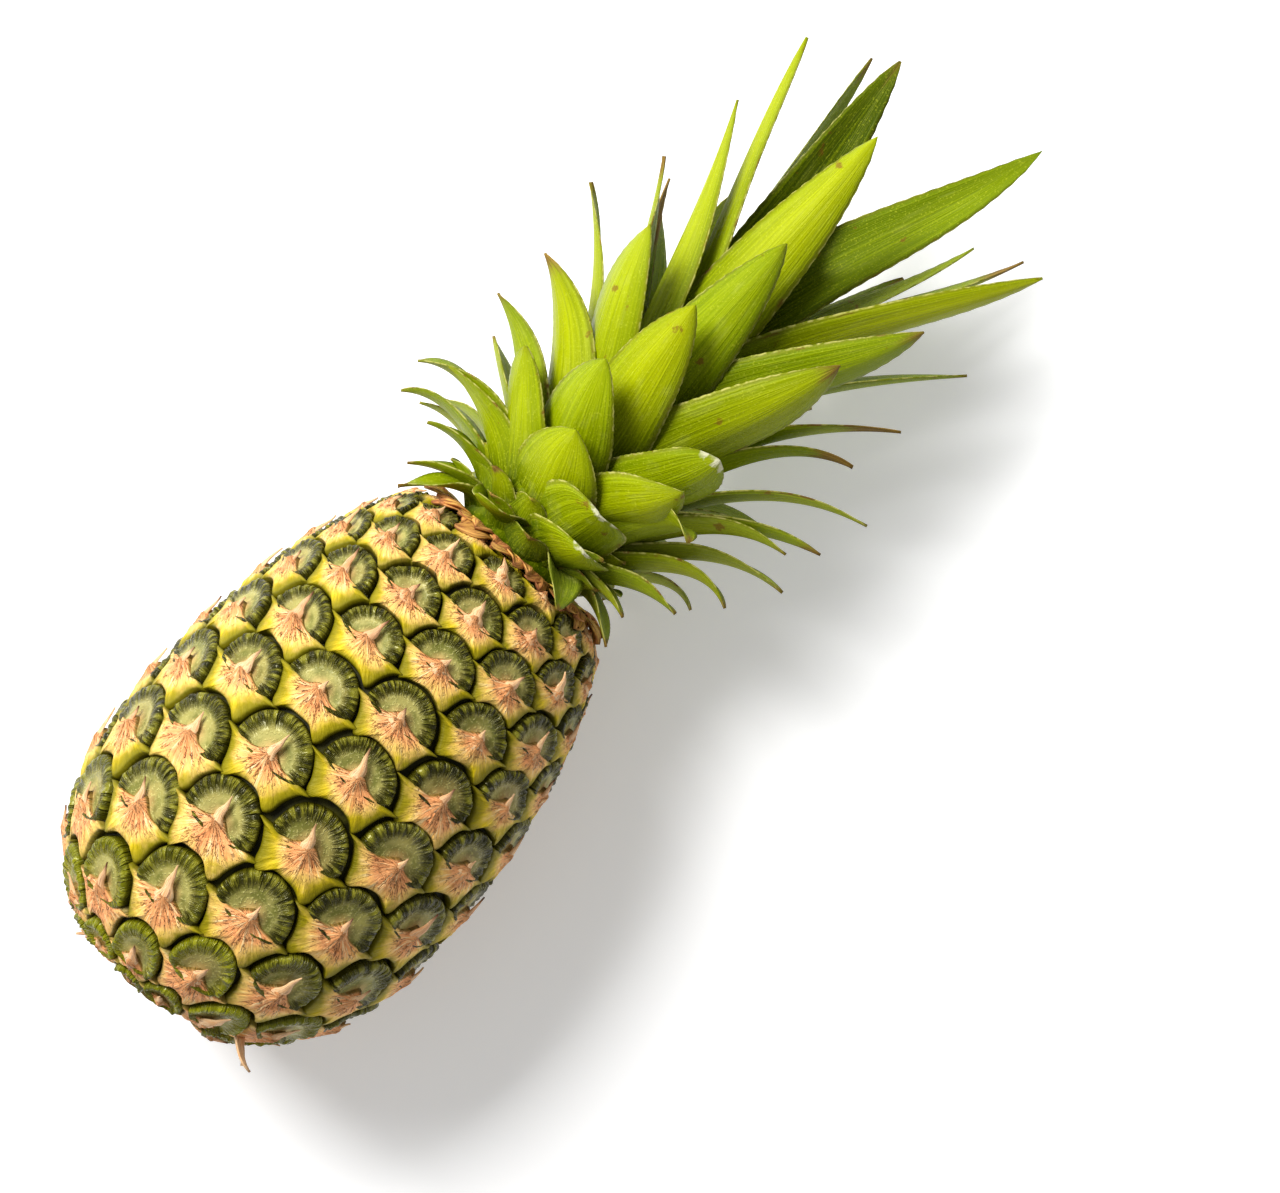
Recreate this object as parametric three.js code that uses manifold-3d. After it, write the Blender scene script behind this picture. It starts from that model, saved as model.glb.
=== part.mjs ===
// A whole pineapple with its crown, lying on its side.
// Millimetres. +X runs from the base of the fruit to its crown, +Z is up, and the surface is at z = 0.
import * as THREE from "three";
import { mergeVertices } from "three/addons/utils/BufferGeometryUtils.js";
import Module from "manifold-3d";

const wasm = await Module();
wasm.setup();

// Driving dimensions
// The fruit's axis above the surface; its widest eyes stand out further and are pressed flat
const AXIS_HEIGHT = 57.6;
const CROWN_FOOT = 172; // along the axis, from the base of the fruit to the foot of the crown
const FLOOR_GAP = 0.3; // the lowest leaves stop this far above the surface
const FLOOR_EASE = 2; // and bend up over this height
const JOINT_GAP = 0.35; // between pieces that touch

// The rind without its relief, as [along the axis, radius], from the hollow at the base to the crown
const RIND = [
  [10.5, 0], [10, 8], [8.5, 14], [6, 21], [7.3, 27], [12, 34.5], [18, 41.5], [26, 48], [36, 53], [48, 56.6],
  [66, 58.3], [90, 57.8], [114, 54.8], [136, 50], [154, 43], [165, 36.6], [170, 28.5], [171.5, 18],
  [171.5, 0],
].map(([along, radius]) => new THREE.Vector2(along, radius));

// Eyes stand in 15 rows along the fruit, each row 7/15 of an eye on from its neighbour
const EYE_ROWS = 15;
const ROW_SHIFT = 7 / 15;
const ROW_LEAN = THREE.MathUtils.degToRad(1.7); // how far a row turns about the axis with each eye
const FIRST_ROW_TURN = THREE.MathUtils.degToRad(17.5);
const FIRST_ROW_OFFSET = 0.47; // in eyes
const EYE_LENGTHS = { start: 37.8, firstLength: 29.4, shrink: 2, rootLength: 14 }; // mm along the rind
const EYES_FROM = -0.35; // the relief rises from here
const RELIEF_FULL = { from: 0.3, to: 8.8 }; // is whole between these places
const RELIEF_GONE = 9.75; // and is smooth again here
const EYES_TO = 9.95;

// Heights in the relief of one eye
const POINT = 2.2;
const BRACT = 1.9;
const RIM = 1.5;
const SIDE = 1.4;
const ARM = 1.1;
const MARGIN = 0.9;
const VALLEY = 0.7;
const PAD = 0.3;
const GROOVE = -1.7;

// That relief as chains of [along, height], each at a place across the eye. Along counts from the middle
// of the eye, where the bract has its point, and 1 is the next eye towards the crown.
const NEAR_POINT = [[0.01, POINT], [0.13, PAD], [0.42, RIM], [0.56, GROOVE], [0.63, MARGIN], [0.83, BRACT]];
const NEAR_ARM = [[0.02, ARM], [0.22, ARM], [0.4, GROOVE], [0.5, ARM], [0.56, VALLEY], [0.75, SIDE]];
const RELIEF = [
  { across: -0.4, chain: NEAR_ARM },
  { across: -0.14, chain: NEAR_POINT },
  { across: 0.14, chain: NEAR_POINT },
  { across: 0.4, chain: NEAR_ARM },
];

// Dry points of the bracts, of which a share is left, and none on the lowest eyes
const BARB = { length: 11, width: 5, thickness: 1.2, lean: 0.15, root: 1.6, back: 2.5, drift: 6 };
const BARB_PLACES = { from: 0.4, to: 8.3, share: 0.55, lowest: -0.72 };

// The cut stalk in the hollow of the base
const STALK = { radius: 10.5, end: 1.5, rim: 1.2, shaft: 3.5, root: 7, rootDepth: 1.8 };

// The crown: a leafy stem with the leaves of its upper side each given by hand, in mm and degrees:
// tip along the axis from the crown's foot, tip to the -Y side, tip above the axis,
// foot up the stem, turn of the foot about the axis, width, hook of the tip away from the axis, bluntness.
// The last two are young leaves that close over the top of the stem.
const LEAVES = [
  [200, 38, -12, 74, 165, 25, 12, 2],
  [190, -12, 0, 76, 200, 27, 5, 2],
  [188, -20, -18, 70, 245, 16, 8, 2],
  [175, -37, 12, 66, -72, 19, 12, 2],
  [164, -1, 30, 58, -12, 27, 8, 2.4],
  [167, 63, 15, 56, 55, 24, 28, 2.2],
  [170, 56, -6, 62, 110, 19, 22, 2],
  [164, 42, -12, 64, 130, 12, 15, 2],
  [130, 47, 30, 46, 38, 26, 22, 2.6],
  [133, 66, -8, 48, 100, 18, 45, 2],
  [122, 0, 38, 42, -4, 27, 14, 2.4],
  [147, -40, 15, 50, -62, 21, 25, 2],
  [122, -47, -5, 42, -95, 16, 32, 2],
  [119, -42, -15, 46, -120, 13, 20, 2],
  [101, -58, 0, 34, -90, 17, 50, 2],
  [101, -34, 28, 34, -48, 26, 5, 4],
  [91, -8, 40, 28, -10, 27, 10, 3],
  [106, 35, 35, 32, 36, 28, 12, 3],
  [106, 62, 2, 36, 85, 20, 55, 2],
  [88, 58, 8, 28, 78, 18, 75, 3],
  [78, 73, 2, 24, 88, 17, 78, 1.6],
  [75, -53, 14, 22, -50, 28, 65, 3],
  [62, -17, 42, 18, -20, 27, 12, 4],
  [62, 27, 38, 22, 30, 24, 15, 9],
  [48, 25, 42, 15, 20, 24, 30, 4],
  [38, 36, 38, 11, 38, 24, 125, 3],
  [62, 68, 8, 18, 75, 20, 75, 2],
  [55, 60, 14, 14, 66, 20, 85, 2],
  [46, 67, 6, 11, 82, 20, 90, 1.8],
  [57, -56, 10, 14, -58, 24, 70, 3],
  [47, -50, -8, 16, -105, 20, 50, 4],
  [50, -38, 28, 10, -45, 25, 30, 3.5],
  [41, -10, 40, 9, -10, 30, 15, 4],
  [26, -61, 6, 10, -64, 24, 130, 2.4],
  [31, -52, 14, 8, -56, 23, 85, 2.6],
  [16, -60, -6, 7, -95, 18, 130, 2.2],
  [17, -54, -14, 6, -105, 17, 115, 2],
  [14, -46, 14, 6, -70, 18, 115, 2.2],
  [27, 11, 40, 6, 14, 30, 60, 8],
  [16, 15, 38, 4, 22, 27, 50, 6],
  [31, 57, 12, 8, 76, 20, 120, 2.2],
  [24, 50, -12, 6, 100, 17, 120, 2],
  [20, 47, 18, 5, 62, 18, 95, 2.2],
  [1, -43, 8, 4, -76, 16, 130, 2],
  [8, -20, 32, 4, -28, 19, 70, 3],
  [-2, 20, 32, 4, 30, 17, 130, 2],
  [-6, -40, 14, 4, -62, 14, 140, 1.6],
  [-1, 38, 14, 4, 64, 14, 130, 1.6],
  [9, 36, 22, 5, 52, 15, 110, 1.8],
  [130, 2.5, 4.3, 78, 30, 20, 0, 2.2],
  [138, -2.5, -4.3, 78, 210, 20, 0, 2.2],
].map(([along, side, up, foot, turn, width, hook, blunt]) => {
  return { along, side, up, foot, turn, width, hook, blunt };
});

// The leaves of its lower side follow a rule, and the lowest lie on the surface.
// Pairs are the values at the foot and at the top of the stem.
const UNDER_LEAVES = {
  count: 20,
  firstTurn: 116,
  span: 128,
  goldenStep: 0.618,
  foot: [5, 62],
  along: [6, 142],
  reach: [62, 36],
  width: [17, 24],
  hook: [115, 15],
};

// Every blade. Pairs are the values at its foot and at its tip, or low and high on the stem.
const STEM = { foot: 22, top: 6, length: 92, cap: 6 };
const BLADE = {
  sunk: 3,
  leave: [0.95, 0.12],
  leaveOver: 80,
  lead: 0.4,
  trail: 0.35,
  middle: [2.2, 1],
  edge: 0.7,
  arch: [0.5, 0.3],
  waist: 0.72,
  waistTo: 0.3,
};
const LEAF_STATIONS = { short: [0, 0.25, 0.5, 0.76, 1], long: [0, 0.22, 0.44, 0.66, 0.85, 1] };
const LONG_LEAF = 60; // from this far along the axis

// The papery ring between the fruit and the crown, and its ragged scales
const COLLAR = { inner: 22.8, outer: 29, foot: 172, thickness: 0.9 };
const SCALES = { count: 18, reach: 38, ragged: 5, halfWidth: 4.8, thickness: 0.9, flatTo: 31, droop: 3.4 };

// A repeatable number from 0 to 1 for item n, different for each salt
function draw(n, salt) {
  const wave = Math.sin(n * 12.9898 + salt * 78.233) * 43758.5453;
  return wave - Math.floor(wave);
}

const mix = (a, b, share) => a + (b - a) * share;

// A closed three.js geometry as a solid, and a solid back as a geometry
function solidOf(geometry) {
  const bare = geometry.index ? geometry.toNonIndexed() : geometry.clone();
  for (const name of Object.keys(bare.attributes)) if (name !== "position") bare.deleteAttribute(name);
  const merged = mergeVertices(bare, 1e-4);
  return new wasm.Manifold(
    new wasm.Mesh({
      numProp: 3,
      vertProperties: new Float32Array(merged.attributes.position.array),
      triVerts: new Uint32Array(merged.index.array),
    }),
  );
}

function geometryOf(solid) {
  const { vertProperties, triVerts, numProp, numVert } = solid.getMesh();
  const positions = new Float32Array(numVert * 3);
  for (let i = 0; i < numVert; i++) {
    positions.set(vertProperties.subarray(i * numProp, i * numProp + 3), i * 3);
  }
  const geometry = new THREE.BufferGeometry();
  geometry.setAttribute("position", new THREE.BufferAttribute(positions, 3));
  geometry.setIndex(new THREE.BufferAttribute(triVerts, 1));
  geometry.computeVertexNormals();
  return geometry;
}

function geometryFrom(points, triangles) {
  const geometry = new THREE.BufferGeometry();
  const numbers = points.flatMap((p) => [p.x, p.y, p.z]);
  geometry.setAttribute("position", new THREE.Float32BufferAttribute(numbers, 3));
  geometry.setIndex(triangles);
  return geometry;
}

function joinAll(solids) {
  let layer = solids;
  while (layer.length > 1) {
    const next = [];
    for (let i = 0; i < layer.length; i += 2) {
      next.push(i + 1 < layer.length ? layer[i].add(layer[i + 1]) : layer[i]);
    }
    layer = next;
  }
  return wholeBody(layer[0]);
}

// The largest body with its sealed hollows filled
function wholeBody(solid) {
  return solid.decompose().sort((a, b) => b.volume() - a.volume())[0];
}

// Rind
const rindCurve = new THREE.SplineCurve(RIND);
const rindLength = rindCurve.getLength();

// Point on the rind in (along, radius), and its outward normal
function rindAt(distance) {
  const share = THREE.MathUtils.clamp(distance / rindLength, 0, 1);
  const point = rindCurve.getPointAt(share);
  const tangent = rindCurve.getTangentAt(share);
  return { point, normal: new THREE.Vector2(-tangent.y, tangent.x) };
}

// A turn of 0 is the top of the lying fruit, and a positive turn goes towards -Y
function aroundAxis(along, radius, turn) {
  return new THREE.Vector3(along, -radius * Math.sin(turn), radius * Math.cos(turn));
}

// Distance along the rind of an eye's place in its row
function distanceOf(place) {
  const { start, firstLength, shrink, rootLength } = EYE_LENGTHS;
  const steps = place - 1;
  if (steps < 0) return start + steps * rootLength;
  return start + firstLength * steps - (shrink * steps * steps) / 2;
}

function rindPoint(place, turn, height) {
  const { point, normal } = rindAt(distanceOf(place));
  const rise = THREE.MathUtils.smoothstep(place, EYES_FROM, RELIEF_FULL.from);
  const fall = THREE.MathUtils.smoothstep(place, RELIEF_FULL.to, RELIEF_GONE);
  const lift = height * rise * (1 - fall);
  return aroundAxis(point.x + normal.x * lift, point.y + normal.y * lift, turn);
}

const rowTurn = (row, place) => FIRST_ROW_TURN + (row * 2 * Math.PI) / EYE_ROWS - ROW_LEAN * place;
const rowOffset = (row) => (FIRST_ROW_OFFSET + row * ROW_SHIFT) % 1;

// Vertices of one chain of the relief, from the base end to the crown end
function chainOf(row, { across, chain }) {
  const found = [{ place: EYES_FROM, height: 0 }];
  for (let eye = -2; eye < EYES_TO + 1; eye++)
    for (const [along, height] of chain) {
      const place = rowOffset(row) + eye + along;
      if (place > EYES_FROM + 0.05 && place < EYES_TO - 0.05) found.push({ place, height });
    }
  found.push({ place: EYES_TO, height: 0 });
  return found
    .sort((a, b) => a.place - b.place)
    .map(({ place, height }) => rindPoint(place, rowTurn(row + across, place), height));
}

// Triangles between two chains of vertices, the shorter way across each time
function stitch(points, left, right, triangles) {
  let i = 0;
  let j = 0;
  while (i < left.length - 1 || j < right.length - 1) {
    const upLeft = i < left.length - 1 ? points[left[i + 1]].distanceTo(points[right[j]]) : Infinity;
    const upRight = j < right.length - 1 ? points[left[i]].distanceTo(points[right[j + 1]]) : Infinity;
    if (upLeft < upRight) triangles.push(left[i], right[j], left[++i]);
    else triangles.push(left[i], right[j], right[++j]);
  }
}

function rindSolid() {
  const points = [];
  const chains = [];
  const triangles = [];
  for (let row = 0; row < EYE_ROWS; row++)
    for (const part of RELIEF) {
      const made = chainOf(row, part);
      chains.push(made.map((_, k) => points.length + k));
      points.push(...made);
    }
  chains.forEach((left, k) => stitch(points, left, chains[(k + 1) % chains.length], triangles));
  const basePole = points.push(new THREE.Vector3(RIND[0].x, 0, 0)) - 1;
  const crownPole = points.push(new THREE.Vector3(RIND.at(-1).x, 0, 0)) - 1;
  chains.forEach((left, k) => {
    const right = chains[(k + 1) % chains.length];
    triangles.push(basePole, right[0], left[0], crownPole, left.at(-1), right.at(-1));
  });
  return solidOf(geometryFrom(points, triangles));
}

// One dry point: a thin three-sided spike, its root sunk in the bract
function barbSolid(row, eye) {
  const place = rowOffset(row) + eye;
  const number = row * 16 + eye;
  const turn = rowTurn(row, place);
  const { point, normal } = rindAt(distanceOf(place));
  const out = aroundAxis(normal.x, normal.y, turn);
  const side = aroundAxis(0, 1, turn + Math.PI / 2);
  const up = new THREE.Vector3().crossVectors(side, out).normalize();
  if (up.x < 0) up.negate();
  const size = 0.75 + 0.4 * draw(number, 2);
  const foot = aroundAxis(point.x, point.y, turn).addScaledVector(out, POINT - BARB.root);
  const lean = BARB.lean * (0.8 + 0.4 * draw(number, 3));
  const tip = foot.clone()
    .addScaledVector(up, BARB.length * size * Math.cos(lean))
    .addScaledVector(out, BARB.length * size * Math.sin(lean) + BARB.root * 0.5)
    .addScaledVector(side, (draw(number, 4) - 0.5) * BARB.drift);
  const back = foot.clone().addScaledVector(up, -BARB.back);
  const ring = [
    back.clone().addScaledVector(side, BARB.width / 2),
    back.clone().addScaledVector(side, -BARB.width / 2),
    foot.clone().addScaledVector(out, BARB.thickness + BARB.root),
  ];
  if (out.z < BARB_PLACES.lowest) return null;
  const spike = solidOf(geometryFrom([...ring, tip], [0, 1, 2, 0, 3, 1, 1, 3, 2, 2, 3, 0]));
  if (spike.volume() > 0) return spike;
  return solidOf(geometryFrom([...ring, tip], [0, 2, 1, 0, 1, 3, 1, 2, 3, 2, 0, 3]));
}

function fruitSolid() {
  const barbs = [];
  for (let row = 0; row < EYE_ROWS; row++)
    for (let eye = 0; eye < EYES_TO; eye++) {
      const place = rowOffset(row) + eye;
      const { from, to, share } = BARB_PLACES;
      if (place < from || place > to || draw(row * 16 + eye, 1) > share) continue;
      const barb = barbSolid(row, eye);
      if (barb) barbs.push(barb);
    }
  const depth = 60;
  const surface = new THREE.BoxGeometry(400, 300, depth);
  surface.translate(CROWN_FOOT / 2, 0, -AXIS_HEIGHT - depth / 2);
  return wholeBody(joinAll([rindSolid(), ...barbs]).subtract(solidOf(surface)));
}

// Cut stalk
function stalkSolid() {
  const { radius, end, rim, shaft, root, rootDepth } = STALK;
  const inner = RIND[0].x - JOINT_GAP;
  const profile = [
    [0, end],
    [radius - rim, end],
    [radius, end + rim],
    [radius - 1, end + shaft],
    [root, inner - rootDepth],
    [0, inner - rim],
  ].map(([r, along]) => new THREE.Vector2(r, along));
  return solidOf(new THREE.LatheGeometry(profile, 14).rotateZ(-Math.PI / 2));
}

// Crown stem
const stemRadius = (foot) => Math.max(STEM.top, mix(STEM.foot, STEM.top, foot / STEM.length));

function stemSolid() {
  const { foot, top, length, cap } = STEM;
  const half = length / 2;
  const profile = [[0, 0], [foot, 0], [stemRadius(half), half], [top, length], [0, length + cap]];
  const lathe = new THREE.LatheGeometry(profile.map(([r, along]) => new THREE.Vector2(r, along)), 14);
  return solidOf(lathe.rotateZ(-Math.PI / 2).translate(CROWN_FOOT, 0, 0));
}

function underLeaves() {
  const { count, firstTurn, span, goldenStep, foot, along, reach, width, hook } = UNDER_LEAVES;
  return Array.from({ length: count }, (_, n) => {
    const share = n / (count - 1);
    const turn = firstTurn + span * ((n * goldenStep + 0.3) % 1);
    const out = mix(...reach, share) * (0.92 + 0.16 * draw(n, 21));
    const angle = THREE.MathUtils.degToRad(turn);
    return {
      along: mix(...along, Math.pow(share, 0.9)) + 8 * draw(n, 22),
      side: out * Math.sin(angle),
      up: out * Math.cos(angle),
      foot: mix(...foot, share),
      turn,
      width: mix(...width, Math.sqrt(share)),
      hook: mix(...hook, Math.pow(share, 0.7)),
      blunt: mix(2, 3, draw(n, 23)),
    };
  });
}

// Middle line of a leaf: a cubic curve from its foot in the stem to its tip
function leafLine({ along, side, up, foot, turn, hook }) {
  const angle = THREE.MathUtils.degToRad(turn);
  const bend = THREE.MathUtils.degToRad(hook);
  const leave = mix(...BLADE.leave, Math.sqrt(foot / BLADE.leaveOver));
  const start = aroundAxis(CROWN_FOOT + foot, stemRadius(foot) - BLADE.sunk, angle);
  const tip = new THREE.Vector3(CROWN_FOOT + along, -side, up);
  const away = new THREE.Vector3(0, -side, up).normalize();
  const length = start.distanceTo(tip);
  const outOfStem = aroundAxis(Math.cos(leave), Math.sin(leave), angle);
  const first = start.clone().addScaledVector(outOfStem, BLADE.lead * length);
  const last = tip.clone().addScaledVector(away, -BLADE.trail * length * Math.sin(bend));
  last.x -= BLADE.trail * length * Math.cos(bend);
  return new THREE.CubicBezierCurve3(start, first, last, tip);
}

function leafWidth({ width, blunt }, share) {
  const taper = Math.pow(1 - Math.pow(share, blunt), 0.8);
  return width * taper * mix(BLADE.waist, 1, Math.min(1, share / BLADE.waistTo));
}

// How far a part of a leaf whose lowest point is at z is bent up, to lie just above the surface
function liftOff(z) {
  const lowest = FLOOR_GAP - AXIS_HEIGHT;
  const near = lowest + FLOOR_EASE;
  return z < near ? lowest + FLOOR_EASE * Math.exp((z - near) / FLOOR_EASE) - z : 0;
}

// A leaf blade, arched across and thickest in its middle
function leafSolid(leaf) {
  const line = leafLine(leaf);
  const points = [];
  const triangles = [];
  const stations = leaf.along < LONG_LEAF ? LEAF_STATIONS.short : LEAF_STATIONS.long;
  for (const share of stations) {
    const middle = line.getPointAt(share);
    const tangent = line.getTangentAt(share);
    const across = aroundAxis(0, 1, THREE.MathUtils.degToRad(leaf.turn) + Math.PI / 2);
    across.addScaledVector(tangent, -across.dot(tangent)).normalize();
    const outward = new THREE.Vector3().crossVectors(across, tangent);
    const half = leafWidth(leaf, share) / 2;
    const thick = mix(...BLADE.middle, share);
    const arch = half * mix(...BLADE.arch, share);
    const place = (aside, away) =>
      middle.clone().addScaledVector(across, aside).addScaledVector(outward, away);
    const outline = [
      place(-half, -arch + BLADE.edge), place(0, thick / 2), place(half, -arch + BLADE.edge),
      place(half, -arch), place(0, -thick / 2), place(-half, -arch),
    ];
    const section = share === 1 ? [middle] : outline;
    const lift = liftOff(Math.min(...section.map((p) => p.z)));
    points.push(...section.map((p) => p.setZ(p.z + lift)));
  }
  const ring = 6;
  const rings = stations.length - 1;
  for (let k = 0; k < rings - 1; k++)
    for (let i = 0; i < ring; i++) {
      const a = k * ring + i;
      const b = k * ring + ((i + 1) % ring);
      triangles.push(a, b, b + ring, a, b + ring, a + ring);
    }
  const tip = rings * ring;
  for (let i = 0; i < ring; i++) {
    triangles.push(tip - ring + i, tip - ring + ((i + 1) % ring), tip);
  }
  triangles.push(0, 5, 1, 1, 5, 4, 1, 4, 2, 2, 4, 3);
  return solidOf(geometryFrom(points, triangles));
}

function crownSolid() {
  return joinAll([stemSolid(), ...[...LEAVES, ...underLeaves()].map(leafSolid)]);
}

// Papery collar: a flat ring with ragged scales that droop over the fruit's shoulder
function scaleSolid(n) {
  const { count, reach, ragged, halfWidth, thickness, flatTo, droop } = SCALES;
  const turn = ((n + 0.5 * draw(n, 31)) / count) * 2 * Math.PI;
  const long = reach - ragged * draw(n, 32);
  const side = aroundAxis(0, 1, turn + Math.PI / 2);
  const half = halfWidth * (1 + 0.38 * draw(n, 33));
  const drop = (droop * (long - flatTo) * (0.6 + 0.4 * draw(n, 34))) / (reach - flatTo);
  const root = COLLAR.inner + 1;
  const crest = mix(COLLAR.inner, long, 0.62);
  const place = (along, radius, aside) =>
    aroundAxis(COLLAR.foot + along, radius, turn).addScaledVector(side, aside);
  const layer = (away) => [
    place(away, root, -half),
    place(away, root, half),
    place(away + 1, crest, -half * 0.9),
    place(away + 1, crest, half * 0.9),
    place(away - drop, long, 3 * (draw(n, 35) - 0.5)),
  ];
  const lift = 0.1 + 0.3 * (n % 2);
  const below = layer(lift);
  const above = layer(lift + thickness);
  const top = [5, 8, 6, 5, 7, 8, 7, 9, 8];
  const under = [0, 1, 3, 0, 3, 2, 2, 3, 4];
  const edges = [[0, 1], [1, 3], [3, 4], [4, 2], [2, 0]];
  const rim = edges.flatMap(([a, b]) => [a, b + 5, b, a, a + 5, b + 5]);
  return solidOf(geometryFrom([...below, ...above], [...top, ...under, ...rim]));
}

function collarSolid() {
  const { inner, outer, foot, thickness } = COLLAR;
  const profile = [[inner, 0], [outer, 0], [outer, thickness], [inner, thickness], [inner, 0]];
  const lathe = new THREE.LatheGeometry(profile.map(([r, along]) => new THREE.Vector2(r, along)), 18);
  const ring = solidOf(lathe.rotateZ(-Math.PI / 2).translate(foot, 0, 0));
  return joinAll([ring, ...Array.from({ length: SCALES.count }, (_, n) => scaleSolid(n))]);
}

function mesh(name, solid, material) {
  const finish = new THREE.MeshStandardMaterial({ metalness: 0, ...material });
  const made = new THREE.Mesh(geometryOf(solid), finish);
  made.name = name;
  made.position.z = AXIS_HEIGHT;
  return made;
}

const pineapple = new THREE.Group();
pineapple.add(mesh("fruit", fruitSolid(), { color: 0x8a7a34, roughness: 0.55 }));
pineapple.add(mesh("stalk", stalkSolid(), { color: 0xb59a62, roughness: 0.8 }));
pineapple.add(mesh("collar", collarSolid(), { color: 0xb98d55, roughness: 0.85 }));
pineapple.add(mesh("crown", crownSolid(), { color: 0x86a81e, roughness: 0.5 }));

// The middle of the whole part goes over the origin
const middle = new THREE.Box3().setFromObject(pineapple).getCenter(new THREE.Vector3());
pineapple.position.set(-middle.x, -middle.y, 0);

export default pineapple;
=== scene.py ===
# %% [markdown]
# A ripe pineapple lies on its side, with its crown of leaves still on. The solids of the frame give
# its size and place. Here each of them is replaced by finer pieces of the same form: the eyes of the
# rind, their bracts and dry points, the papery collar, the cut stalk, and the crown, with a few small
# leaves that the solids leave out. All of them follow the same growth rules as the solids, so they land
# in the same places.

import math

import bpy
import numpy as np
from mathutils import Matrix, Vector


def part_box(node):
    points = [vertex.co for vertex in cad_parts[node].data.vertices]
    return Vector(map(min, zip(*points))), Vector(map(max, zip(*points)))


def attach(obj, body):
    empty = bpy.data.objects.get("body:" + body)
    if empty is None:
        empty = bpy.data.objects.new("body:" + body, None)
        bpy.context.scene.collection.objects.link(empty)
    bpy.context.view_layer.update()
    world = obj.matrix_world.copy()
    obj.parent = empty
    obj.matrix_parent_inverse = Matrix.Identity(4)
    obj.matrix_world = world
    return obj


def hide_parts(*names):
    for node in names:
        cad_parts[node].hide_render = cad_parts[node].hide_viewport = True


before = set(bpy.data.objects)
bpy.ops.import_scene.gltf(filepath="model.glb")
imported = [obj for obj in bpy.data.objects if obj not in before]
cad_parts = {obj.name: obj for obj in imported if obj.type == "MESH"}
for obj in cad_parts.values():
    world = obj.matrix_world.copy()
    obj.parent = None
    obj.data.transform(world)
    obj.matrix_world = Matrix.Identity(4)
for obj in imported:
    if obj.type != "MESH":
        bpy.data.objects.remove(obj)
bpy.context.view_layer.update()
print("nodes:", sorted(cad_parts))

# %% [markdown]
# Measures are in millimetres along the fruit, as a grower would take them, with the base of the fruit
# at 0 and the middle of the fruit as the axis. The frame has its origin under the middle of the whole
# part, in metres. The cut stalk tells where the one sits in the other, so it is read from the frame.

# %% From the fruit's own measures to the frame
MM = 0.001
AXIS_HEIGHT = 57.6
STALK_END = 1.5
CROWN_FOOT = 172.0

stalk_low, stalk_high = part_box("stalk")
FRAME_SHIFT = np.array([
    stalk_low[0] / MM - STALK_END,
    (stalk_low[1] + stalk_high[1]) / 2 / MM,
    AXIS_HEIGHT,
])
print("the fruit's base is at", FRAME_SHIFT.round(2), "mm")


ITEM_STRIDE, SALT_STRIDE, SCATTER = 12.9898, 78.233, 43758.5453
ANY_PHASE = 6.3  # about a whole turn: a wave shifted by up to this starts anywhere


def draw(n, salt):
    """A repeatable number from 0 to 1 for item n, different for each salt."""
    wave = math.sin(n * ITEM_STRIDE + salt * SALT_STRIDE) * SCATTER
    return wave - math.floor(wave)


def mix(a, b, share):
    return a + (b - a) * share


def ease(value, low, high):
    """0 below low, 1 above high, and smooth between."""
    share = np.clip((value - low) / (high - low), 0, 1)
    return share * share * (3 - 2 * share)


# %% [markdown]
# The weight of the fruit presses its lowest eyes flat. Rather than cut them, everything that would
# reach below the surface is squeezed to a thin layer just above it, which keeps the order of the layers.

# %% Placing points
SQUEEZE = 0.7  # thickness of that layer


def to_frame(points):
    """Points in the fruit's millimetres, pressed flat on the surface, as metres in the frame."""
    placed = np.asarray(points, float) + FRAME_SHIFT
    low = placed[:, 2] < SQUEEZE
    placed[low, 2] = SQUEEZE * np.exp((placed[low, 2] - SQUEEZE) / SQUEEZE)
    return placed * MM


def around_axis(along, radius, turn):
    """A turn of 0 is the top of the lying fruit, and a positive turn goes towards -Y."""
    along, radius, turn = np.broadcast_arrays(along, radius, turn)
    return np.stack([along, -radius * np.sin(turn), radius * np.cos(turn)], axis=-1)


# %% [markdown]
# A piece is made of many copies of one template. Each copy's points are worked out together as one
# array, and the copies are gathered into a single mesh, with a UV map for the patterns that follow
# the surface and plain numbers per point, such as the tone of each leaf.

# %% Gathering copies into a piece
def deselect():
    if bpy.context.object and bpy.context.object.mode != "OBJECT":
        bpy.ops.object.mode_set(mode="OBJECT")
    bpy.ops.object.select_all(action="DESELECT")


class Gather:
    """Collects copies of templates and turns them into one piece."""

    def __init__(self):
        self.points, self.faces, self.maps, self.marks = [], [], [], {}
        self.count = 0

    def add(self, points, faces, surface, **marks):
        self.points.append(points)
        self.faces.extend([tuple(i + self.count for i in face) for face in faces])
        self.maps.append(surface)
        for name, value in marks.items():
            values = np.broadcast_to(np.asarray(value, float), len(points))
            self.marks.setdefault(name, []).append(values)
        self.count += len(points)

    def piece(self, name, finish, replaces, slot):
        mesh = bpy.data.meshes.new(name)
        mesh.from_pydata(to_frame(np.concatenate(self.points)).tolist(), [], self.faces)
        made = bpy.data.objects.new(name, mesh)
        bpy.context.collection.objects.link(made)
        corners = np.empty(len(mesh.loops), dtype=np.int32)
        mesh.loops.foreach_get("vertex_index", corners)
        layer = mesh.uv_layers.new(name="surface")
        layer.data.foreach_set("uv", np.concatenate(self.maps)[corners].astype(np.float32).ravel())
        for mark, values in self.marks.items():
            attribute = mesh.attributes.new(mark, "FLOAT", "POINT")
            attribute.data.foreach_set("value", np.concatenate(values).astype(np.float32))
        mesh.polygons.foreach_set("use_smooth", [True] * len(mesh.polygons))
        mesh.materials.append(finish)
        mesh.update()
        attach(made, "root")
        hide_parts(replaces)
        mesh.calc_loop_triangles()
        print(name, "has", len(mesh.loop_triangles), "triangles")


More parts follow.
